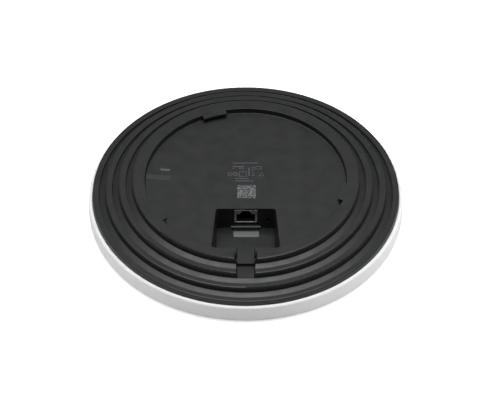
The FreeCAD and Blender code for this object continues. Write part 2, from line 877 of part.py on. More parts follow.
nodes = {
    "front_cover": make_front_cover(),
    "back_housing": make_back_housing(),
    "main_board": make_main_board(),
    "jack_shell": make_jack_shell(),
    "jack_insert": make_jack_insert(),
    "jack_contacts": make_jack_contacts(),
    "ethernet_transformer": make_transformer(),
    "network_chip": make_chip(network_chip_place, network_chip_size, network_chip_size),
    "processor": make_chip(processor_place(), processor_size, processor_size),
    "memory_chips": make_memory_chips(),
    "flash_chip": make_chip(flash_chip_place, flash_chip_length, flash_chip_width),
    "radio_chips": group([make_chip(low_radio_can, radio_chip_size, radio_chip_size),
                          make_chip(high_radio_can, radio_chip_size, radio_chip_size)]),
    "processor_shield": make_can(processor_can),
    "radio_shields": group([make_can(low_radio_can), make_can(high_radio_can)]),
    "thermal_pads": make_thermal_pads(),
    "power_controller": make_chip(power_chip_place, power_chip_size, power_chip_size),
    "power_inductors": make_inductors(),
    "bulk_capacitors": make_capacitors(),
    "clock_crystals": group([make_chip(place, crystal_length, crystal_width, crystal_height)
                             for place in crystal_places]),
    "reset_switch": make_reset_switch(),
    "reset_button": make_reset_button(),
    "status_led": centred_block((0, 0), led_size, led_size, board_bottom_z - led_height, led_height),
    "light_guide": make_light_guide(),
    "board_screws": make_board_screws(),
    "plate_spacers": make_plate_spacers(),
    "plate_screws": make_plate_screws(),
    "reflector_plate": make_reflector_plate(),
    "low_band_antennas": make_antennas(*antenna_sets()[0]),
    "high_band_antennas": make_antennas(*antenna_sets()[1]),
    "antenna_holders": make_antenna_holders(),
    "antenna_feed_pins": make_feed_pins(),
}

os.makedirs("parts", exist_ok=True)
for name, shape in nodes.items():
    shape.exportStep("parts/" + name + ".step")
    print(name, len(shape.Solids), round(shape.Volume / 1000.0, 3), "cm3", shape.isValid())
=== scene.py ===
import math

import bmesh
import bpy
from bpy.props import FloatProperty, FloatVectorProperty, IntProperty, PointerProperty
from bpy.types import Operator, Panel, PropertyGroup
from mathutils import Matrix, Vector
from mathutils.bvhtree import BVHTree


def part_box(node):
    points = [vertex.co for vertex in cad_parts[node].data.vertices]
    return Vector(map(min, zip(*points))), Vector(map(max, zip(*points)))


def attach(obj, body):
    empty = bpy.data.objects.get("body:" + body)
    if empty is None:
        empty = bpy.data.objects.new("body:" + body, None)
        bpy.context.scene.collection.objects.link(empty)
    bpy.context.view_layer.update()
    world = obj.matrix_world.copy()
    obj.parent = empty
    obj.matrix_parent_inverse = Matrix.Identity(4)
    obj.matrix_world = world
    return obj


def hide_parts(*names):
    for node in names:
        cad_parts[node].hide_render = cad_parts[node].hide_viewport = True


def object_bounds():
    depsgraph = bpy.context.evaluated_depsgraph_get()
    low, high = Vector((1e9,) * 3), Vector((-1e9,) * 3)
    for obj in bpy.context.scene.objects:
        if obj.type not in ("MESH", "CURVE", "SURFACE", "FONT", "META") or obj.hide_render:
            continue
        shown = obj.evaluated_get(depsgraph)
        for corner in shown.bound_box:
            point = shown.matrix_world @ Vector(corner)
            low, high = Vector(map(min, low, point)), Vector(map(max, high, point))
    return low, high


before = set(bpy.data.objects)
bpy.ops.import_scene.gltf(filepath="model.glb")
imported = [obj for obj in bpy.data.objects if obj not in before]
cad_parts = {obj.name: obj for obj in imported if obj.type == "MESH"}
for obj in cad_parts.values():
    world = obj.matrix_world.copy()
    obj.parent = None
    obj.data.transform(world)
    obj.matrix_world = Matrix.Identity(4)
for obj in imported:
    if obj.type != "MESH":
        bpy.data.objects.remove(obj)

bl_info = {
    "name": "Ceiling Access Point",
    "version": (1, 0, 0),
    "blender": (4, 5, 0),
    "location": "View3D > Sidebar > Access Point",
    "description": "Finishes and details the pieces of a ceiling access point around its packed frame",
    "category": "Object",
}

MM = 0.001
HOUSE = "access_point"
CAD_LOW, CAD_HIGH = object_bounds()
COVER_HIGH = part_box("front_cover")[1]
BOARD_LOW, BOARD_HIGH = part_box("main_board")
JACK_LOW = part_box("jack_shell")[0]


# ---- colours and nodes -----------------------------------------------------

def linear(code):
    """The linear colour of an sRGB hex value."""
    channels = [int(code[start:start + 2], 16) / 255.0 for start in (1, 3, 5)]
    return [c / 12.92 if c <= 0.04045 else ((c + 0.055) / 1.055) ** 2.4 for c in channels]


def add_node(tree, kind, settings=None, links=None):
    """Adds a node, sets its properties and inputs, and links the rest of its inputs."""
    node = tree.nodes.new(kind)
    for key, value in (settings or {}).items():
        if isinstance(key, int) or key in node.inputs:
            node.inputs[key].default_value = value
        else:
            setattr(node, key, value)
    for key, source in (links or {}).items():
        tree.links.new(source, node.inputs[key])
    return node


def new_finish(name, colour, roughness, ior=1.5, metallic=0.0, **more):
    """A material with one shader. Returns its tree, the shader and the place on the piece."""
    material = bpy.data.materials.new(name)
    material.use_nodes = True
    tree = material.node_tree
    tree.nodes.clear()
    settings = {"Base Color": (*colour, 1.0), "Roughness": roughness, "IOR": ior, "Metallic": metallic}
    settings.update({key.replace("_", " "): value for key, value in more.items()})
    shader = add_node(tree, "ShaderNodeBsdfPrincipled", settings)
    add_node(tree, "ShaderNodeOutputMaterial", links={"Surface": shader.outputs["BSDF"]})
    place = add_node(tree, "ShaderNodeTexCoord").outputs["Object"]
    return material, tree, shader, place


def add_grain(tree, shader, place, size, depth, roughness, spread):
    """Relief of one grain size, with a gloss that wanders over patches ten grains wide."""
    grain = add_node(tree, "ShaderNodeTexNoise", {"Scale": 1.0 / size, "Detail": 3.0}, {"Vector": place})
    relief = add_node(tree, "ShaderNodeBump", {"Distance": depth}, {"Height": grain.outputs[0]})
    tree.links.new(relief.outputs["Normal"], shader.inputs["Normal"])
    patches = add_node(tree, "ShaderNodeTexNoise", {"Scale": 0.1 / size, "Detail": 2.0}, {"Vector": place})
    gloss = add_node(tree, "ShaderNodeMapRange", {
        "From Min": 0.3, "From Max": 0.7, "To Min": roughness - spread, "To Max": roughness + spread},
        {"Value": patches.outputs[0]})
    tree.links.new(gloss.outputs["Result"], shader.inputs["Roughness"])
    return grain.outputs[0]


def add_tint(tree, shader, factor, low, high):
    """Base colour that runs between two colours by a factor."""
    ends = {"data_type": "RGBA", 6: (*low, 1.0), 7: (*high, 1.0)}
    tint = add_node(tree, "ShaderNodeMix", ends, {0: factor})
    tree.links.new(tint.outputs[2], shader.inputs["Base Color"])
    return tint.outputs[2]


def shade(colour, share):
    """A colour made darker or lighter by a share."""
    return [min(1.0, channel * share) for channel in colour]


# ---- finishes --------------------------------------------------------------

def grained(name, colour, roughness, size, depth, spread, low, high, stretch=(1.0, 1.0, 1.0), **more):
    """A finish with one grain, a gloss that wanders by a spread, and a low and a high share of its colour."""
    material, tree, shader, place = new_finish(name, colour, roughness, **more)
    along = add_node(tree, "ShaderNodeMapping", {"Scale": stretch}, {"Vector": place}).outputs["Vector"]
    grain = add_grain(tree, shader, along, size, depth, roughness, spread)
    add_tint(tree, shader, grain, shade(colour, low), shade(colour, high))
    return material


def satin_polycarbonate(settings):
    """Moulded from a spark-eroded tool: a soft wide highlight with no sharp reflections."""
    # The tool's spark grain is about 0.1 mm; it is drawn at 0.4 mm so that it still shows
    return grained("satin_polycarbonate", settings.colour, settings.roughness, settings.grain,
                   0.006 * MM, 0.04, 0.985, 1.0, ior=1.585)


def powder_coated_aluminium(settings):
    """Cast metal under a black powder coat: matt, with a faint orange peel about 1 mm wide."""
    return grained("powder_coated_aluminium", settings.colour, settings.roughness, settings.peel,
                   0.012 * MM, 0.05, 0.85, 1.15, ior=1.47)


def tinned_steel_shell():
    """Folded tinned strip: pale dull metal with rolling lines along the strip."""
    return grained("tinned_steel_shell", linear("#c0c1c4"), 0.38, 0.8 * MM, 0.004 * MM, 0.08,
                   0.8, 1.1, stretch=(1.0, 1.0, 12.0), metallic=1.0)


def glass_filled_nylon():
    """Black socket moulding: a dull skin with short paler fibres near the surface."""
    return grained("glass_filled_nylon", linear("#101112"), 0.5, 0.3 * MM, 0.006 * MM, 0.06,
                   0.7, 1.6, stretch=(1.0, 0.2, 1.0), ior=1.53)


def gold_flashed_bronze():
    """Phosphor bronze wire with a thin gold flash, drawn smooth."""
    return grained("gold_flashed_bronze", linear("#d9b25a"), 0.25, 0.2 * MM, 0.001 * MM, 0.06,
                   0.85, 1.0, metallic=1.0)


def solder_masked_board(settings):
    """Glass epoxy board: glossy lacquer over faint copper tracks, and a bare edge coloured near black as
    painted shade.
    """
    mask = settings.mask_colour
    material, tree, shader, place = new_finish("solder_masked_board", mask, 0.3, 1.55)
    add_grain(tree, shader, place, 0.5 * MM, 0.004 * MM, 0.3, 0.05)
    # Tracks run in steps of 2.54 mm, vias are 0.6 mm wide
    tracks = add_node(tree, "ShaderNodeTexBrick", {
        "Scale": 1.0, "Brick Width": 7.62 * MM, "Row Height": 2.54 * MM, "Mortar Size": 0.12 * MM,
        "Color1": (0, 0, 0, 1), "Color2": (0, 0, 0, 1), "Mortar": (1, 1, 1, 1)}, {"Vector": place})
    lacquer = add_tint(tree, shader, tracks.outputs["Color"], mask, shade(mask, 1.7))
    vias = add_node(tree, "ShaderNodeTexVoronoi", {"voronoi_dimensions": "2D", "Scale": 1.0 / (3.2 * MM)},
                    {"Vector": place})
    is_via = add_node(tree, "ShaderNodeMath", {"operation": "LESS_THAN", 1: 0.09},
                      {0: vias.outputs["Distance"]})
    dotted = add_node(tree, "ShaderNodeMix", {"data_type": "RGBA", 7: (*linear("#b9975a"), 1.0)},
                      {0: is_via.outputs[0], 6: lacquer})
    height = add_node(tree, "ShaderNodeSeparateXYZ", links={"Vector": place}).outputs["Z"]
    middle = (BOARD_LOW.z + BOARD_HIGH.z) / 2.0
    from_middle = add_node(tree, "ShaderNodeMath", {"operation": "SUBTRACT", 1: middle}, {0: height})
    distance = add_node(tree, "ShaderNodeMath", {"operation": "ABSOLUTE"}, {0: from_middle.outputs[0]})
    half = (BOARD_HIGH.z - BOARD_LOW.z) / 2.0 - 0.04 * MM
    is_edge = add_node(tree, "ShaderNodeMath", {"operation": "LESS_THAN", 1: half}, {0: distance.outputs[0]})
    # Painted shade: the board's whole bare edge is coloured near black to stand in for the shadow in the gap
    # under the socket
    painted_edge_shade = add_node(tree, "ShaderNodeMix", {"data_type": "RGBA", 7: (*linear("#1c1a10"), 1.0)},
                     {0: is_edge.outputs[0], 6: dotted.outputs[2]})
    tree.links.new(painted_edge_shade.outputs[2], shader.inputs["Base Color"])
    return material


def epoxy_moulding_compound():
    """Chip packages: matt black epoxy with a salt of fine silica filler."""
    return grained("epoxy_moulding_compound", linear("#1d1e20"), 0.55, 0.12 * MM, 0.004 * MM, 0.05,
                   0.7, 1.5, ior=1.55)


def nickel_silver_shield():
    """Stamped shield lids: warm grey metal, rolled one way."""
    return grained("nickel_silver_shield", linear("#b4b1a8"), 0.32, 1.5 * MM, 0.003 * MM, 0.07,
                   0.85, 1.05, stretch=(1.0, 14.0, 1.0), metallic=1.0)


def silicone_thermal_pad():
    """Filled silicone rubber: soft, matt and faintly speckled grey."""
    return grained("silicone_thermal_pad", linear("#8d9599"), 0.75, 0.25 * MM, 0.02 * MM, 0.08,
                   0.8, 1.15, ior=1.43, Subsurface_Weight=0.05)


def pressed_ferrite():
    """Moulded power coils: iron powder pressed in resin, dark grey and grainy."""
    return grained("pressed_ferrite", linear("#4a4b4d"), 0.6, 0.2 * MM, 0.012 * MM, 0.08,
                   0.6, 1.4, ior=1.6, metallic=0.2)


def drawn_aluminium_can():
    """Capacitor cans: drawn aluminium, finely lined up the wall."""
    return grained("drawn_aluminium_can", linear("#c9cbcd"), 0.28, 1.2 * MM, 0.002 * MM, 0.06,
                   0.85, 1.0, stretch=(10.0, 10.0, 1.0), metallic=1.0)


def moulded_acetal():
    """Reset button and switch: slippery black plastic with a waxy shine."""
    return grained("moulded_acetal", linear("#151617"), 0.35, 0.2 * MM, 0.003 * MM, 0.05, 0.8, 1.3, ior=1.48)


def milky_led_epoxy():
    """Light source: cloudy white epoxy over a pale reflector cup."""
    return grained("milky_led_epoxy", linear("#f0ecd8"), 0.35, 0.3 * MM, 0.002 * MM, 0.05,
                   0.93, 1.0, ior=1.53, Subsurface_Weight=0.3)


def polished_acrylic():
    """Light guide: clear acrylic with slight waviness from the mould."""
    return grained("polished_acrylic", linear("#f4f7f7"), 0.08, 1.5 * MM, 0.004 * MM, 0.03,
                   0.98, 1.0, ior=1.49, Transmission_Weight=1.0)


def zinc_plated_steel():
    """Screws: bright zinc with a faint blue and yellow cast."""
    colour = linear("#b9bcc2")
    material, tree, shader, place = new_finish("zinc_plated_steel", colour, 0.3, metallic=1.0)
    grain = add_grain(tree, shader, place, 0.4 * MM, 0.003 * MM, 0.3, 0.08)
    add_tint(tree, shader, grain, linear("#a9b0bc"), linear("#c8c3b0"))
    return material


def stamped_aluminium():
    """Antenna plate: bare rolled sheet, with streaks along one way."""
    return grained("stamped_aluminium", linear("#c2c4c6"), 0.36, 3.0 * MM, 0.004 * MM, 0.08,
                   0.82, 1.05, stretch=(1.0, 22.0, 1.0), metallic=1.0)


def tinned_brass():
    """Folded antennas and their pins: pale tin over brass, soft and slightly mottled."""
    return grained("tinned_brass", linear("#bdb9ab"), 0.35, 0.8 * MM, 0.004 * MM, 0.08,
                   0.85, 1.08, metallic=1.0)


def natural_nylon():
    """Antenna posts: undyed nylon, creamy and slightly see-through."""
    return grained("natural_nylon", linear("#d9d3c0"), 0.48, 0.4 * MM, 0.006 * MM, 0.05,
                   0.92, 1.0, ior=1.53, Subsurface_Weight=0.15)


def pad_printed_ink(settings):
    """Grey print on the coat: a thin flat film, a little uneven where it was dabbed on."""
    return grained("pad_printed_ink", settings.ink_colour, 0.6, 0.35 * MM, 0.002 * MM, 0.06,
                   0.7, 1.15)


def laser_marked_patch(settings):
    """Square patch that a laser has bleached: paler and rougher than the print."""
    return grained("laser_marked_patch", settings.patch_colour, 0.7, 0.25 * MM, 0.004 * MM, 0.06,
                   0.75, 1.15)


def polyester_label(settings):
    """Grey film label with a matt overlay."""
    return grained("polyester_label", settings.label_colour, 0.45, 0.5 * MM, 0.003 * MM, 0.05,
                   0.9, 1.1, ior=1.57)


def label_print():
    """The label's own print: paler than the ink on the coat."""
    return grained("label_print", linear("#66686a"), 0.55, 0.3 * MM, 0.002 * MM, 0.05, 0.85, 1.1)


def studio_paper(settings):
    """Wide roll of pale paper: fully matt, with a soft tooth."""
    colour = settings.floor_colour
    material, tree, shader, place = new_finish("studio_paper", colour, 0.9, 1.45, Specular_IOR_Level=0.2)
    grain = add_grain(tree, shader, place, 2.0 * MM, 0.01 * MM, 0.9, 0.03)
    add_tint(tree, shader, grain, shade(colour, 0.99), colour)
    # The paper lies on a light table: the camera sees it nearly white, with only a faint contact shadow
    seen = add_node(tree, "ShaderNodeLightPath").outputs["Is Camera Ray"]
    glow = add_node(tree, "ShaderNodeMath", {"operation": "MULTIPLY", 1: settings.floor_glow}, {0: seen})
    shader.inputs["Emission Color"].default_value = (1.0, 1.0, 1.0, 1.0)
    tree.links.new(glow.outputs[0], shader.inputs["Emission Strength"])
    return material


# ---- making pieces ---------------------------------------------------------

def join_scene(name, mesh):
    """A new object at the origin that holds a mesh."""
    piece = bpy.data.objects.new(name, mesh)
    bpy.context.scene.collection.objects.link(piece)
    return piece


def plain_copy(source, name):
    """The evaluated mesh of an object as a new plain object. The source is removed."""
    bpy.context.view_layer.update()
    depsgraph = bpy.context.evaluated_depsgraph_get()
    mesh = bpy.data.meshes.new_from_object(source.evaluated_get(depsgraph), depsgraph=depsgraph)
    bpy.data.objects.remove(source)
    mesh.name = name
    return join_scene(name, mesh)


def smooth_faces(piece, angle):
    """Smooth shading, with edges steeper than an angle kept sharp."""
    piece.data.shade_smooth()
    piece.data.set_sharp_from_angle(angle=math.radians(angle))


def coat(piece, material):
    """Gives the whole piece one material."""
    piece.data.materials.clear()
    piece.data.materials.append(material)


def settle(piece, slot, *nodes, body=HOUSE):
    """The piece rides on its body and stands for its CAD nodes; the slot is not used."""
    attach(piece, body)
    if nodes:
        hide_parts(*nodes)


def finish_node(node, material):
    """Gives a CAD node that is shown as it is its material."""
    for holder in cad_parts[node].material_slots:
        holder.material = material


def merged_copy(node):
    """A CAD node's mesh with its loose triangles merged into flat faces."""
    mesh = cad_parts[node].data.copy()
    work = bmesh.new()
    work.from_mesh(mesh)
    bmesh.ops.remove_doubles(work, verts=work.verts, dist=0.002 * MM)
    bmesh.ops.dissolve_limit(work, angle_limit=math.radians(0.5), verts=work.verts, edges=work.edges)
    work.to_mesh(mesh)
    work.free()
    mesh.materials.clear()
    return mesh


def softened(node, name, width):
    """A copy of a CAD node whose sharp edges are broken by a small round."""
    source = join_scene(node + ".source", merged_copy(node))
    source.data.shade_smooth()
    bevel = source.modifiers.new("edges", "BEVEL")
    bevel.width = width
    bevel.segments = 2
    bevel.limit_method = "ANGLE"
    bevel.angle_limit = math.radians(35.0)
    bevel.use_clamp_overlap = False
    weighted = source.modifiers.new("shading", "WEIGHTED_NORMAL")
    weighted.mode = "FACE_AREA"
    weighted.keep_sharp = True
    return plain_copy(source, name)


def housing_height(x, y):
    """Height of the housing's outer face over a place in plan."""
    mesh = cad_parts["back_housing"].data
    faces = BVHTree.FromPolygons([vertex.co for vertex in mesh.vertices],
                                 [face.vertices for face in mesh.polygons])
    hit = faces.ray_cast(Vector((x, y, CAD_HIGH.z + 1.0)), Vector((0.0, 0.0, -1.0)))
    if hit[0] is None:
        raise RuntimeError(f"the housing has no face over {x}, {y}")
    return hit[0].z


# ---- geometry trees --------------------------------------------------------

def new_tree(name, inputs):
    """An empty geometry tree with named inputs. Returns it with what its inputs give."""
    tree = bpy.data.node_groups.new(name, "GeometryNodeTree")
    tree.interface.new_socket("Geometry", in_out="INPUT", socket_type="NodeSocketGeometry")
    for label, kind in inputs.items():
        tree.interface.new_socket(label, in_out="INPUT", socket_type="NodeSocket" + kind)
    tree.interface.new_socket("Material", in_out="INPUT", socket_type="NodeSocketMaterial")
    tree.interface.new_socket("Geometry", in_out="OUTPUT", socket_type="NodeSocketGeometry")
    return tree, tree.nodes.new("NodeGroupInput").outputs


def end_tree(tree, given, geometry):
    """Makes instances real, sets the material and closes the tree."""
    real = add_node(tree, "GeometryNodeRealizeInstances", links={"Geometry": geometry})
    coated = add_node(tree, "GeometryNodeSetMaterial", links={
        "Geometry": real.outputs[0], "Material": given["Material"]})
    add_node(tree, "NodeGroupOutput", links={"Geometry": coated.outputs[0]})


def grown(name, tree, values, points=(), edges=(), roundings=()):
    """Runs a tree on a starting mesh of points and edges, and returns the plain result."""
    mesh = bpy.data.meshes.new(name + ".start")
    mesh.from_pydata([tuple(point) for point in points], edges, [])
    if roundings:
        rounding = mesh.attributes.new("rounding", "FLOAT", "POINT")
        rounding.data.foreach_set("value", roundings)
    source = join_scene(name + ".source", mesh)
    modifier = source.modifiers.new(tree.name, "NODES")
    modifier.node_group = tree
    for item in tree.interface.items_tree:
        if item.in_out == "INPUT" and item.name in values:
            modifier[item.identifier] = values[item.name]
    return plain_copy(source, name)


def point_outwards(piece):
    """Turns every face of a closed piece outwards."""
    work = bmesh.new()
    work.from_mesh(piece.data)
    bmesh.ops.remove_doubles(work, verts=work.verts, dist=0.0005 * MM)
    bmesh.ops.recalc_face_normals(work, faces=work.faces)
    work.to_mesh(piece.data)
    work.free()


def joined(name, pieces, material):
    """Several plain pieces as one, in one material."""
    work = bmesh.new()
    for piece in pieces:
        work.from_mesh(piece.data)
    for face in work.faces:
        face.material_index = 0
    mesh = bpy.data.meshes.new(name)
    work.to_mesh(mesh)
    work.free()
    mesh.materials.append(material)
    for piece in pieces:
        bpy.data.objects.remove(piece)
    return join_scene(name, mesh)


def lathe_tree():
    """Turns an open outline from the axis and back about Z, with rounded corners."""
    tree, given = new_tree("turned_shell", {"Rounding steps": "Int", "Turn steps": "Int"})
    outline = add_node(tree, "GeometryNodeMeshToCurve", links={"Mesh": given["Geometry"]})
    radius = add_node(tree, "GeometryNodeInputNamedAttribute", {"data_type": "FLOAT", "Name": "rounding"})
    rounded = add_node(tree, "GeometryNodeFilletCurve", {"mode": "POLY"}, {
        "Curve": outline.outputs[0], "Radius": radius.outputs[0], "Count": given["Rounding steps"]})
    size = add_node(tree, "GeometryNodeAttributeDomainSize", {"component": "CURVE"}, {
        "Geometry": rounded.outputs[0]})
    rows = add_node(tree, "ShaderNodeMath", {"operation": "ADD", 1: 1.0}, {0: given["Turn steps"]})
    grid = add_node(tree, "GeometryNodeMeshGrid", links={
        "Vertices X": size.outputs["Point Count"], "Vertices Y": rows.outputs[0]})
    index = add_node(tree, "GeometryNodeInputIndex").outputs[0]
    share = add_node(tree, "ShaderNodeMath", {"operation": "DIVIDE"}, {0: index, 1: rows.outputs[0]})
    column = add_node(tree, "ShaderNodeMath", {"operation": "FLOOR"}, {0: share.outputs[0]})
    row = add_node(tree, "ShaderNodeMath", {"operation": "MODULO"}, {0: index, 1: rows.outputs[0]})
    part = add_node(tree, "ShaderNodeMath", {"operation": "DIVIDE"}, {
        0: row.outputs[0], 1: given["Turn steps"]})
    angle = add_node(tree, "ShaderNodeMath", {"operation": "MULTIPLY", 1: math.tau}, {0: part.outputs[0]})
    position = add_node(tree, "GeometryNodeInputPosition").outputs[0]
    corner = add_node(tree, "GeometryNodeSampleIndex", {"data_type": "FLOAT_VECTOR", "clamp": True}, {
        "Geometry": rounded.outputs[0], "Value": position, "Index": column.outputs[0]})
    turned = add_node(tree, "ShaderNodeVectorRotate", {"rotation_type": "Z_AXIS"}, {
        "Vector": corner.outputs[0], "Angle": angle.outputs[0]})
    moved = add_node(tree, "GeometryNodeSetPosition", links={
        "Geometry": grid.outputs[0], "Position": turned.outputs[0]})
    closed = add_node(tree, "GeometryNodeMergeByDistance", {"Distance": 0.001 * MM}, {
        "Geometry": moved.outputs[0]})
    end_tree(tree, given, closed.outputs[0])
    return tree


def arc_rib_tree():
    """Short curved ribs set evenly round the axis."""
    tree, given = new_tree("snap_ribs", {
        "Count": "Int", "Radius": "Float", "Angle": "Float", "Depth": "Float", "Height": "Float",
        "Level": "Float"})
    arc = add_node(tree, "GeometryNodeCurveArc", {"Resolution": 16}, {
        "Radius": given["Radius"], "Sweep Angle": given["Angle"]})
    section = add_node(tree, "GeometryNodeCurvePrimitiveQuadrilateral", links={
        "Width": given["Depth"], "Height": given["Height"]})
    rib = add_node(tree, "GeometryNodeCurveToMesh", {"Fill Caps": True}, {
        "Curve": arc.outputs[0], "Profile Curve": section.outputs[0]})
    centres = add_node(tree, "GeometryNodePoints", links={"Count": given["Count"]})
    index = add_node(tree, "GeometryNodeInputIndex").outputs[0]
    share = add_node(tree, "ShaderNodeMath", {"operation": "DIVIDE"}, {0: index, 1: given["Count"]})
    whole = add_node(tree, "ShaderNodeMath", {"operation": "MULTIPLY_ADD", 1: math.tau, 2: math.pi / 2.0}, {
        0: share.outputs[0]})
    half = add_node(tree, "ShaderNodeMath", {"operation": "MULTIPLY", 1: 0.5}, {0: given["Angle"]})
    first = add_node(tree, "ShaderNodeMath", {"operation": "SUBTRACT"}, {
        0: whole.outputs[0], 1: half.outputs[0]})
    turn = add_node(tree, "ShaderNodeCombineXYZ", links={"Z": first.outputs[0]})
    set_round = add_node(tree, "GeometryNodeInstanceOnPoints", links={
        "Points": centres.outputs[0], "Instance": rib.outputs[0], "Rotation": turn.outputs[0]})
    lift = add_node(tree, "ShaderNodeCombineXYZ", links={"Z": given["Level"]})
    lifted = add_node(tree, "GeometryNodeTransform", links={
        "Geometry": set_round.outputs[0], "Translation": lift.outputs[0]})
    end_tree(tree, given, lifted.outputs[0])
    return tree


def print_tree():
    """Rows of small printed bars with ragged ends, flat on a floor."""
    tree, given = new_tree("printed_rows", {
        "Columns": "Int", "Rows": "Int", "Width": "Float", "Depth": "Float", "Bar width": "Float",
        "Bar height": "Float", "Film": "Float", "Filled": "Float", "Shortest row": "Float", "Seed": "Int",
        "Place": "Vector"})
    grid = add_node(tree, "GeometryNodeMeshGrid", links={
        "Size X": given["Width"], "Size Y": given["Depth"],
        "Vertices X": given["Columns"], "Vertices Y": given["Rows"]})
    index = add_node(tree, "GeometryNodeInputIndex").outputs[0]
    row = add_node(tree, "ShaderNodeMath", {"operation": "MODULO"}, {0: index, 1: given["Rows"]})
    position = add_node(tree, "GeometryNodeInputPosition").outputs[0]
    x = add_node(tree, "ShaderNodeSeparateXYZ", links={"Vector": position}).outputs["X"]
    along = add_node(tree, "ShaderNodeMath", {"operation": "DIVIDE"}, {0: x, 1: given["Width"]})
    share = add_node(tree, "ShaderNodeMath", {"operation": "ADD", 1: 0.5}, {0: along.outputs[0]})
    length = add_node(tree, "FunctionNodeRandomValue", {"data_type": "FLOAT", 3: 1.001}, {
        2: given["Shortest row"], "ID": row.outputs[0], "Seed": given["Seed"]})
    inside = add_node(tree, "FunctionNodeCompare", {"data_type": "FLOAT", "operation": "LESS_EQUAL"}, {
        0: share.outputs[0], 1: length.outputs[1]})
    chance = add_node(tree, "FunctionNodeRandomValue", {"data_type": "BOOLEAN"}, {
        "Probability": given["Filled"], "Seed": given["Seed"]})
    kept = add_node(tree, "FunctionNodeBooleanMath", {"operation": "AND"}, {
        0: inside.outputs[0], 1: chance.outputs[3]})
    size = add_node(tree, "ShaderNodeCombineXYZ", links={
        "X": given["Bar width"], "Y": given["Bar height"], "Z": given["Film"]})
    bar = add_node(tree, "GeometryNodeMeshCube", links={"Size": size.outputs[0]})
    set_out = add_node(tree, "GeometryNodeInstanceOnPoints", links={
        "Points": grid.outputs[0], "Instance": bar.outputs[0], "Selection": kept.outputs[0]})
    placed = add_node(tree, "GeometryNodeTransform", links={
        "Geometry": set_out.outputs[0], "Translation": given["Place"]})
    end_tree(tree, given, placed.outputs[0])
    return tree


def outline_mark_tree():
    """A plain closed line of a few sides, or many for a ring."""
    tree, given = new_tree("outline_mark", {
        "Sides": "Int", "Turn": "Float", "Size": "Vector", "Stroke": "Float", "Film": "Float",
        "Place": "Vector"})
    shape = add_node(tree, "GeometryNodeCurvePrimitiveCircle", {"Radius": 1.0}, {
        "Resolution": given["Sides"]})
    turn = add_node(tree, "ShaderNodeCombineXYZ", links={"Z": given["Turn"]})
    turned = add_node(tree, "GeometryNodeTransform", links={
        "Geometry": shape.outputs[0], "Rotation": turn.outputs[0]})
    sized = add_node(tree, "GeometryNodeTransform", links={
        "Geometry": turned.outputs[0], "Scale": given["Size"], "Translation": given["Place"]})
    stroke = add_node(tree, "GeometryNodeCurvePrimitiveQuadrilateral", links={
        "Width": given["Stroke"], "Height": given["Film"]})
    line = add_node(tree, "GeometryNodeCurveToMesh", links={
        "Curve": sized.outputs[0], "Profile Curve": stroke.outputs[0]})
    end_tree(tree, given, line.outputs[0])
    return tree


def wire_row_tree():
    """Square wires along a bent path, side by side at a pitch."""
    tree, given = new_tree("sprung_wires", {"Count": "Int", "Pitch": "Float", "Size": "Float"})
    path = add_node(tree, "GeometryNodeMeshToCurve", links={"Mesh": given["Geometry"]})
    eased = add_node(tree, "GeometryNodeFilletCurve", {"mode": "POLY", "Count": 4, "Radius": 0.5 * MM}, {
        "Curve": path.outputs[0]})
    section = add_node(tree, "GeometryNodeCurvePrimitiveQuadrilateral", links={
        "Width": given["Size"], "Height": given["Size"]})
    wire = add_node(tree, "GeometryNodeCurveToMesh", {"Fill Caps": True}, {
        "Curve": eased.outputs[0], "Profile Curve": section.outputs[0]})
    step = add_node(tree, "ShaderNodeCombineXYZ", links={"X": given["Pitch"]})
    row = add_node(tree, "GeometryNodeMeshLine", links={
        "Count": given["Count"], "Offset": step.outputs[0]})
    wires = add_node(tree, "GeometryNodeInstanceOnPoints", links={
        "Points": row.outputs[0], "Instance": wire.outputs[0]})
    end_tree(tree, given, wires.outputs[0])
    return tree


# ---- sizes and colours -----------------------------------------------------

def length(name, description, default):
    """A length that a user would change."""
    return FloatProperty(name=name, description=description, default=default, unit="LENGTH", precision=5,
                         min=0.0)


def colour(name, description, code):
    """A colour that a user would change."""
    return FloatVectorProperty(name=name, description=description, default=linear(code), subtype="COLOR",
                               size=3, min=0.0, max=1.0)


def factor(name, description, default):
    """A share between none and all."""
    return FloatProperty(name=name, description=description, default=default, subtype="FACTOR", min=0.0,
                         max=1.0)


def power(name, description, default):
    """The power of a lamp that a user would change."""
    return FloatProperty(name=name, description=description, default=default, unit="POWER", min=0.0)


class CoverSettings(PropertyGroup):
    """White front cover."""
    colour: colour("Colour", "Colour of the moulded cover", "#e4e5e4")
    roughness: factor("Roughness", "How far the satin surface spreads its highlight", 0.42)
    grain: length("Grain", "Width of the moulded texture", 0.4 * MM)
    wall: length("Wall", "Thickness of the side wall", 2.09 * MM)
    face: length("Face", "Thickness of the flat face", 2.3 * MM)
    edge_round: length("Edge round", "Radius between the face and the side", 4.5 * MM)
    lip_round: length("Lip round", "Radius on the outside of the lip", 1.7 * MM)
    inner_round: length("Inner round", "Radius inside, between face and side", 2.2 * MM)
    window_radius: length("Window radius", "Radius of the thinned window for the light", 3.2 * MM)
    window_skin: length("Window skin", "Thickness left over the light", 0.9 * MM)
    boss_wall: length("Boss wall", "Wall of the ring round the window", 1.2 * MM)
    boss_height: length("Boss height", "Height of the ring over the face", 3.0 * MM)
    rib_depth: length("Rib depth", "How far the snap ribs stand in", 0.65 * MM)
    rib_height: length("Rib height", "Height of the snap ribs", 1.2 * MM)
    rib_rise: length("Rib rise", "From the face to the snap ribs", 4.6 * MM)
    rib_count: IntProperty(name="Ribs", description="Number of snap ribs", default=6, min=2)


class HousingSettings(PropertyGroup):
    """Black back housing."""
    colour: colour("Colour", "Colour of the powder coat", "#171819")
    roughness: factor("Roughness", "How matt the powder coat is", 0.42)
    peel: length("Orange peel", "Width of the coat's ripples", 0.9 * MM)


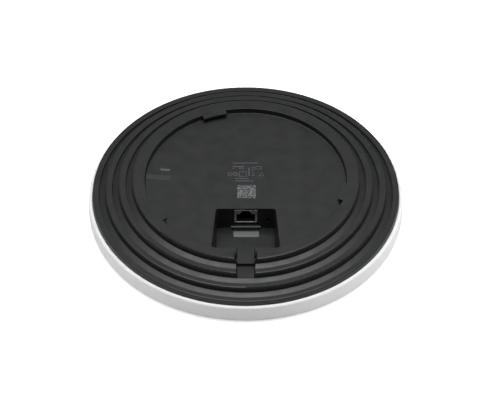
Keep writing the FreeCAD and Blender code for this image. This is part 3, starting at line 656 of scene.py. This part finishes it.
class SocketSettings(PropertyGroup):
    """Network socket and reset button."""
    edge_round: length("Edge round", "Round on the folded metal", 0.12 * MM)
    contact_pitch: length("Contact pitch", "Distance between two contacts", 1.02 * MM)
    contact_size: length("Contact size", "Thickness of a contact wire", 0.35 * MM)
    contacts: IntProperty(name="Contacts", description="Number of contacts", default=8, min=2)


class BoardSettings(PropertyGroup):
    """Main board."""
    mask_colour: colour("Solder mask", "Colour of the board's lacquer", "#1d5a34")
    edge_round: length("Edge round", "Round on chips, screws and plates", 0.1 * MM)


class PrintSettings(PropertyGroup):
    """Printed marks and the port label."""
    ink_colour: colour("Ink", "Colour of the printed marks", "#4d4e52")
    patch_colour: colour("Patch", "Colour of the laser-marked square", "#656668")
    label_colour: colour("Label", "Colour of the port label", "#5b5d5f")
    film: length("Film", "Thickness of the ink", 0.04 * MM)
    bar_height: length("Bar height", "Height of a printed line", 1.0 * MM)
    patch_size: length("Patch size", "Side of the speckled square", 12.3 * MM)
    label_width: length("Label width", "Width of the port label", 16.7 * MM)
    label_depth: length("Label depth", "Depth of the port label", 5.3 * MM)


class StageSettings(PropertyGroup):
    """Floor, lights and camera."""
    floor_colour: colour("Floor", "Colour of the floor", "#d6d6d6")
    floor_radius: length("Floor radius", "How far the floor reaches", 14.0)
    floor_glow: factor("Floor glow", "How bright the floor is lit for the camera", 0.62)
    elevation: FloatProperty(name="Elevation", description="Camera angle over the horizon",
                             default=math.radians(44.6), subtype="ANGLE", unit="ROTATION")
    distance: length("Distance", "How far away the camera stands", 1.2)
    view_width: length("View width", "Width that the camera sees at the object", 328.5 * MM)
    aside: length("Aside", "How far right of the axis the camera aims", 2.8 * MM)
    above: length("Above", "How high the camera aims", 3.05 * MM)
    lamp_side: length("Lamp side", "Side of the soft box overhead", 1.4)
    lamp_height: length("Lamp height", "Height of the soft box", 1.5)
    lamp_power: power("Lamp power", "Power of the soft box", 29.0)
    panel_side: length("Panel side", "Side of the two panels beside the object", 0.6)
    panel_reach: length("Panel reach", "How far each panel stands from the axis", 1.2)
    panel_height: length("Panel height", "Height of the two panels", 0.25)
    left_power: power("Left power", "Power of the panel on the left", 3.6)
    right_power: power("Right power", "Power of the panel on the right", 6.4)
    sky: factor("Surround", "Brightness of the room round the object", 0.26)


class AccessPointSettings(PropertyGroup):
    """All the settings of the access point."""
    cover: PointerProperty(type=CoverSettings)
    housing: PointerProperty(type=HousingSettings)
    socket: PointerProperty(type=SocketSettings)
    board: PointerProperty(type=BoardSettings)
    print: PointerProperty(type=PrintSettings)
    stage: PointerProperty(type=StageSettings)


# ---- operators -------------------------------------------------------------

class ACCESS_OT_front_cover(Operator):
    """Turn the white cover and set its snap ribs"""
    bl_idname = "access_point.front_cover"
    bl_label = "Front cover"

    def execute(self, context):
        cover = context.scene.access_point.cover
        outer = COVER_HIGH.x
        inner = outer - cover.wall
        boss = cover.window_radius + cover.boss_wall
        boss_top = cover.face + cover.boss_height
        corners = [
            (0.0, 0.0, 0.0),
            (outer, 0.0, cover.edge_round),
            (outer, COVER_HIGH.z, cover.lip_round),
            (inner, COVER_HIGH.z, 0.0),
            (inner, cover.face, cover.inner_round),
            (boss, cover.face, 0.0),
            (boss, boss_top, 0.0),
            (cover.window_radius, boss_top, 0.0),
            (cover.window_radius, cover.window_skin, 0.0),
            (0.0, cover.window_skin, 0.0),
        ]
        finish = satin_polycarbonate(cover)
        points = [(radius, 0.0, height) for radius, height, rounding in corners]
        edges = [(index, index + 1) for index in range(len(points) - 1)]
        dish = grown("front_cover_dish", lathe_tree(), {
            "Rounding steps": 8, "Turn steps": 240, "Material": finish},
            points, edges, [rounding for radius, height, rounding in corners])
        # The ribs are rooted in the wall, so that no gap shows behind them
        root = 0.5 * MM
        ribs = grown("front_cover_ribs", arc_rib_tree(), {
            "Count": cover.rib_count, "Radius": inner - cover.rib_depth / 2.0 + root / 2.0,
            "Angle": math.radians(12.0), "Depth": cover.rib_depth + root, "Height": cover.rib_height,
            "Level": cover.rib_rise + cover.rib_height / 2.0, "Material": finish})
        piece = joined("front_cover_shell", [dish, ribs], finish)
        point_outwards(piece)
        smooth_faces(piece, 30.0)
        settle(piece, "cover_white", "front_cover")
        return {"FINISHED"}


class ACCESS_OT_back_housing(Operator):
    """Powder coat the cast housing"""
    bl_idname = "access_point.back_housing"
    bl_label = "Back housing"

    def execute(self, context):
        finish_node("back_housing", powder_coated_aluminium(context.scene.access_point.housing))
        return {"FINISHED"}


class ACCESS_OT_network_socket(Operator):
    """Round the edges of the socket's metal and its core, and set its contacts"""
    bl_idname = "access_point.network_socket"
    bl_label = "Network socket"

    def execute(self, context):
        socket = context.scene.access_point.socket
        shell = softened("jack_shell", "jack_shell_folded", socket.edge_round)
        coat(shell, tinned_steel_shell())
        settle(shell, "socket_metal", "jack_shell")
        core = softened("jack_insert", "jack_insert_core", socket.edge_round)
        coat(core, glass_filled_nylon())
        settle(core, "socket_plastic", "jack_insert")
        low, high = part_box("jack_contacts")
        size = socket.contact_size
        path = [
            (low.x + size / 2.0, low.y + size, low.z + size / 2.0),
            (low.x + size / 2.0, low.y + 3.0 * size, low.z + size / 2.0),
            (low.x + size / 2.0, high.y - size / 2.0, high.z - size / 2.0),
        ]
        wires = grown("jack_contact_wires", wire_row_tree(), {
            "Count": socket.contacts, "Pitch": socket.contact_pitch, "Size": size,
            "Material": gold_flashed_bronze()}, path, [(0, 1), (1, 2)])
        point_outwards(wires)
        smooth_faces(wires, 30.0)
        settle(wires, "contact_gold", "jack_contacts")
        return {"FINISHED"}


class ACCESS_OT_reset_control(Operator):
    """Finish the reset switch and the button that slides in it"""
    bl_idname = "access_point.reset_control"
    bl_label = "Reset control"

    def execute(self, context):
        socket = context.scene.access_point.socket
        acetal = moulded_acetal()
        switch = softened("reset_switch", "reset_switch_body", socket.edge_round)
        coat(switch, acetal)
        settle(switch, "button_black", "reset_switch")
        finish_node("reset_button", acetal)
        return {"FINISHED"}


class ACCESS_OT_rear_print(Operator):
    """Print generic rows, plain marks and a speckled square on the pocket floor"""
    bl_idname = "access_point.rear_print"
    bl_label = "Rear print"

    def execute(self, context):
        marks = context.scene.access_point.print
        ink = pad_printed_ink(marks)
        floor = housing_height(0.0, 0.0) + marks.film / 2.0
        rows = print_tree()
        blocks = []
        # Each block of rows: columns, rows, width, depth, bar width, share filled, centre x, centre y, in mm
        layout = (
            (17, 1, 16.4, 0.0, 0.85, 1.00, 0.25, 19.2),
            (9, 2, 8.4, 1.6, 0.80, 0.90, -3.9, 15.2),
            (3, 5, 1.8, 7.4, 0.70, 0.80, 5.3, 11.5),
            (10, 1, 9.2, 0.0, 0.80, 0.90, -1.9, 4.8),
            (14, 1, 13.2, 0.0, 0.80, 0.90, 0.1, 2.5),
        )
        for index, (columns, count, width, depth, bar, filled, x, y) in enumerate(layout):
            blocks.append(grown(f"print_block_{index}", rows, {
                "Columns": columns, "Rows": count, "Width": width * MM, "Depth": depth * MM,
                "Bar width": bar * MM, "Bar height": marks.bar_height * 0.75, "Film": marks.film,
                "Filled": filled, "Shortest row": 0.8, "Seed": 7 + index,
                "Place": (x * MM, y * MM, floor), "Material": ink}))
        outline = outline_mark_tree()
        # Plain outlines: sides, turn in degrees, half width, half height, centre x, centre y, in mm
        shapes = (
            (6, 0.0, 1.4, 1.5, -10.4, 8.9),
            (20, 0.0, 1.25, 1.5, -6.95, 8.9),
            (4, 45.0, 3.5, 3.0, -1.9, 8.9),
            (4, 45.0, 0.4, 5.0, 2.2, 11.2),
            (3, 90.0, 1.7, 2.5, 10.5, 8.4),
            (4, 45.0, 2.7, 1.6, 8.4, 14.8),
        )
        for index, (sides, turn, half_x, half_y, x, y) in enumerate(shapes):
            blocks.append(grown(f"print_shape_{index}", outline, {
                "Sides": sides, "Turn": math.radians(turn), "Size": (half_x * MM, half_y * MM, 1.0),
                "Stroke": 0.6 * MM, "Film": marks.film, "Place": (x * MM, y * MM, floor), "Material": ink}))
        piece = joined("rear_print", blocks, ink)
        point_outwards(piece)
        settle(piece, "housing_coat")
        cells = 21
        pitch = marks.patch_size / cells
        between = marks.patch_size - pitch
        cell = pitch * 0.98
        patch = grown("rear_speckled_square", rows, {
            "Columns": cells, "Rows": cells, "Width": between, "Depth": between, "Bar width": cell,
            "Bar height": cell, "Film": marks.film, "Filled": 0.6, "Shortest row": 1.0, "Seed": 3,
            "Place": (0.4 * MM, -7.5 * MM, floor), "Material": laser_marked_patch(marks)})
        settle(patch, "housing_coat")
        return {"FINISHED"}


class ACCESS_OT_port_label(Operator):
    """Stick the port label to the floor of the recess"""
    bl_idname = "access_point.port_label"
    bl_label = "Port label"

    def execute(self, context):
        marks = context.scene.access_point.print
        # The label lies in the middle of the recess floor, in front of the socket
        x = 0.3 * MM
        y = JACK_LOW.y - 6.9 * MM
        floor = housing_height(0.0, y)
        thickness = 0.12 * MM
        mesh = bpy.data.meshes.new("port_label.start")
        work = bmesh.new()
        bmesh.ops.create_cube(work, size=1.0)
        bmesh.ops.scale(work, vec=(marks.label_width, marks.label_depth, thickness), verts=work.verts)
        bmesh.ops.translate(work, vec=(x, y, floor + thickness / 2.0), verts=work.verts)
        uprights = [edge for edge in work.edges
                    if abs(edge.verts[0].co.z - edge.verts[1].co.z) > thickness / 2.0]
        bmesh.ops.bevel(work, geom=uprights, offset=0.8 * MM, segments=5, profile=0.5, affect="EDGES")
        work.to_mesh(mesh)
        work.free()
        label = join_scene("port_label", mesh)
        coat(label, polyester_label(marks))
        settle(label, "housing_coat")
        rows = grown("port_label_print", print_tree(), {
            "Columns": 15, "Rows": 2, "Width": marks.label_width * 0.82, "Depth": marks.label_depth * 0.42,
            "Bar width": 0.8 * MM, "Bar height": 0.9 * MM, "Film": marks.film, "Filled": 0.85,
            "Shortest row": 0.85, "Seed": 11, "Place": (x, y, floor + thickness + marks.film / 2.0),
            "Material": label_print()})
        settle(rows, "housing_coat")
        return {"FINISHED"}


class ACCESS_OT_main_board(Operator):
    """Lacquer the main board"""
    bl_idname = "access_point.main_board"
    bl_label = "Main board"

    def execute(self, context):
        finish_node("main_board", solder_masked_board(context.scene.access_point.board))
        return {"FINISHED"}


class ACCESS_OT_board_parts(Operator):
    """Finish the chips, coils, cans and pads on the board"""
    bl_idname = "access_point.board_parts"
    bl_label = "Board parts"

    def execute(self, context):
        round_size = context.scene.access_point.board.edge_round
        epoxy = epoxy_moulding_compound()
        shield = nickel_silver_shield()
        finishes = {
            "ethernet_transformer": (epoxy, "chip_black"),
            "network_chip": (epoxy, "chip_black"),
            "processor": (epoxy, "chip_black"),
            "memory_chips": (epoxy, "chip_black"),
            "flash_chip": (epoxy, "chip_black"),
            "radio_chips": (epoxy, "chip_black"),
            "power_controller": (epoxy, "chip_black"),
            "processor_shield": (shield, "shield_metal"),
            "radio_shields": (shield, "shield_metal"),
            "clock_crystals": (shield, "shield_metal"),
            "thermal_pads": (silicone_thermal_pad(), "pad_grey"),
            "power_inductors": (pressed_ferrite(), "coil_grey"),
            "bulk_capacitors": (drawn_aluminium_can(), "capacitor_metal"),
        }
        for node, (finish, slot) in finishes.items():
            piece = softened(node, node + "_finished", round_size)
            coat(piece, finish)
            settle(piece, slot, node)
        return {"FINISHED"}


class ACCESS_OT_fasteners(Operator):
    """Finish the screws and spacers"""
    bl_idname = "access_point.fasteners"
    bl_label = "Fasteners"

    def execute(self, context):
        round_size = context.scene.access_point.board.edge_round
        steel = zinc_plated_steel()
        for node in ("board_screws", "plate_screws", "plate_spacers"):
            piece = softened(node, node + "_plated", round_size)
            coat(piece, steel)
            settle(piece, "screw_steel", node)
        return {"FINISHED"}


class ACCESS_OT_antenna_side(Operator):
    """Finish the antenna plate, the antennas and their posts and pins"""
    bl_idname = "access_point.antenna_side"
    bl_label = "Antenna side"

    def execute(self, context):
        brass = tinned_brass()
        for node, finish in (
            ("reflector_plate", stamped_aluminium()),
            ("low_band_antennas", brass),
            ("high_band_antennas", brass),
            ("antenna_feed_pins", brass),
            ("antenna_holders", natural_nylon()),
        ):
            finish_node(node, finish)
        return {"FINISHED"}


class ACCESS_OT_status_light(Operator):
    """Finish the status light and its guide"""
    bl_idname = "access_point.status_light"
    bl_label = "Status light"

    def execute(self, context):
        finish_node("status_led", milky_led_epoxy())
        finish_node("light_guide", polished_acrylic())
        return {"FINISHED"}


class ACCESS_OT_stage(Operator):
    """Lay the floor, hang the soft box and place the camera"""
    bl_idname = "access_point.stage"
    bl_label = "Stage"

    def execute(self, context):
        stage = context.scene.access_point.stage
        lay_floor(stage)
        light_room(context.scene, stage)
        hang_lamp("soft_box", stage.lamp_side, stage.lamp_power, (0.0, 0.0, stage.lamp_height))
        # The side panels only lift the cover's sides, so that the coat keeps its dark ring lines
        for name, strength, side in (("left_panel", stage.left_power, -1.0),
                                     ("right_panel", stage.right_power, 1.0)):
            place = (side * stage.panel_reach, 0.0, stage.panel_height)
            panel = hang_lamp(name, stage.panel_side, strength, place)
            panel.visible_glossy = False
        place_camera(context.scene, stage)
        return {"FINISHED"}


def lay_floor(stage):
    """A wide round floor just under the object."""
    work = bmesh.new()
    bmesh.ops.create_circle(work, cap_ends=True, segments=96, radius=stage.floor_radius)
    bmesh.ops.translate(work, vec=(0.0, 0.0, CAD_LOW.z - 0.05 * MM), verts=work.verts)
    mesh = bpy.data.meshes.new("studio_floor")
    work.to_mesh(mesh)
    work.free()
    floor = join_scene("studio_floor", mesh)
    coat(floor, studio_paper(stage))


def light_room(scene, stage):
    """Grey surround that is darker on the camera's side, and white where the camera sees past the floor."""
    world = bpy.data.worlds.new("studio_room")
    scene.world = world
    world.use_nodes = True
    tree = world.node_tree
    tree.nodes.clear()
    way = add_node(tree, "ShaderNodeTexCoord").outputs["Generated"]
    away = add_node(tree, "ShaderNodeSeparateXYZ", links={"Vector": way}).outputs["Y"]
    behind = stage.sky * 0.3
    level = add_node(tree, "ShaderNodeMapRange", {
        "From Min": -0.6, "From Max": 0.2, "To Min": behind, "To Max": stage.sky}, {"Value": away})
    seen = add_node(tree, "ShaderNodeLightPath").outputs["Is Camera Ray"]
    strength = add_node(tree, "ShaderNodeMix", {"data_type": "FLOAT", 3: 1.0}, {0: seen, 2: level.outputs[0]})
    room = add_node(tree, "ShaderNodeBackground", {"Color": (1.0, 1.0, 1.0, 1.0)}, {
        "Strength": strength.outputs[0]})
    add_node(tree, "ShaderNodeOutputWorld", links={"Surface": room.outputs[0]})
    scene.view_settings.view_transform = "Standard"


def hang_lamp(name, side, power, place):
    """A square panel that faces the object, out of the camera's sight."""
    lamp = bpy.data.lights.new(name, "AREA")
    lamp.shape = "SQUARE"
    lamp.size = side
    lamp.energy = power
    holder = bpy.data.objects.new(name, lamp)
    holder.location = place
    holder.rotation_euler = Vector(place).to_track_quat("Z", "Y").to_euler()
    holder.visible_camera = False
    bpy.context.scene.collection.objects.link(holder)
    return holder


def place_camera(scene, stage):
    """A parallel view from the socket side, looking down at the back."""
    eye = bpy.data.cameras.new("camera")
    eye.type = "ORTHO"
    eye.ortho_scale = stage.view_width
    towards = Vector((0.0, -math.cos(stage.elevation), math.sin(stage.elevation)))
    camera = bpy.data.objects.new("camera", eye)
    camera.location = Vector((stage.aside, 0.0, stage.above)) + towards * stage.distance
    camera.rotation_euler = (math.pi / 2.0 - stage.elevation, 0.0, 0.0)
    eye.clip_end = 100.0
    scene.collection.objects.link(camera)
    scene.camera = camera


class ACCESS_PT_sidebar(Panel):
    """Lists the steps that finish the access point"""
    bl_idname = "ACCESS_PT_sidebar"
    bl_label = "Access Point"
    bl_space_type = "VIEW_3D"
    bl_region_type = "UI"
    bl_category = "Access Point"

    def draw(self, context):
        settings = context.scene.access_point
        for operator in OPERATORS:
            self.layout.operator(operator.bl_idname)
        for group in (settings.cover, settings.housing, settings.socket, settings.board, settings.print,
                      settings.stage):
            box = self.layout.box()
            for name in group.bl_rna.properties.keys():
                if name not in ("rna_type", "name"):
                    box.prop(group, name)


SETTINGS = (CoverSettings, HousingSettings, SocketSettings, BoardSettings, PrintSettings, StageSettings,
            AccessPointSettings)
OPERATORS = (
    ACCESS_OT_front_cover, ACCESS_OT_back_housing, ACCESS_OT_network_socket, ACCESS_OT_reset_control,
    ACCESS_OT_rear_print, ACCESS_OT_port_label, ACCESS_OT_main_board, ACCESS_OT_board_parts,
    ACCESS_OT_fasteners, ACCESS_OT_antenna_side, ACCESS_OT_status_light, ACCESS_OT_stage,
)


def register():
    """Adds the settings, operators and panel to Blender."""
    for kind in (*SETTINGS, *OPERATORS, ACCESS_PT_sidebar):
        bpy.utils.register_class(kind)
    bpy.types.Scene.access_point = PointerProperty(type=AccessPointSettings)


def unregister():
    """Takes them out again."""
    del bpy.types.Scene.access_point
    for kind in reversed((*SETTINGS, *OPERATORS, ACCESS_PT_sidebar)):
        bpy.utils.unregister_class(kind)


def main():
    """Runs every step in order."""
    register()
    for operator in OPERATORS:
        name = operator.bl_idname.split(".")[1]
        getattr(bpy.ops.access_point, name)()


if __name__ == "__main__":
    main()
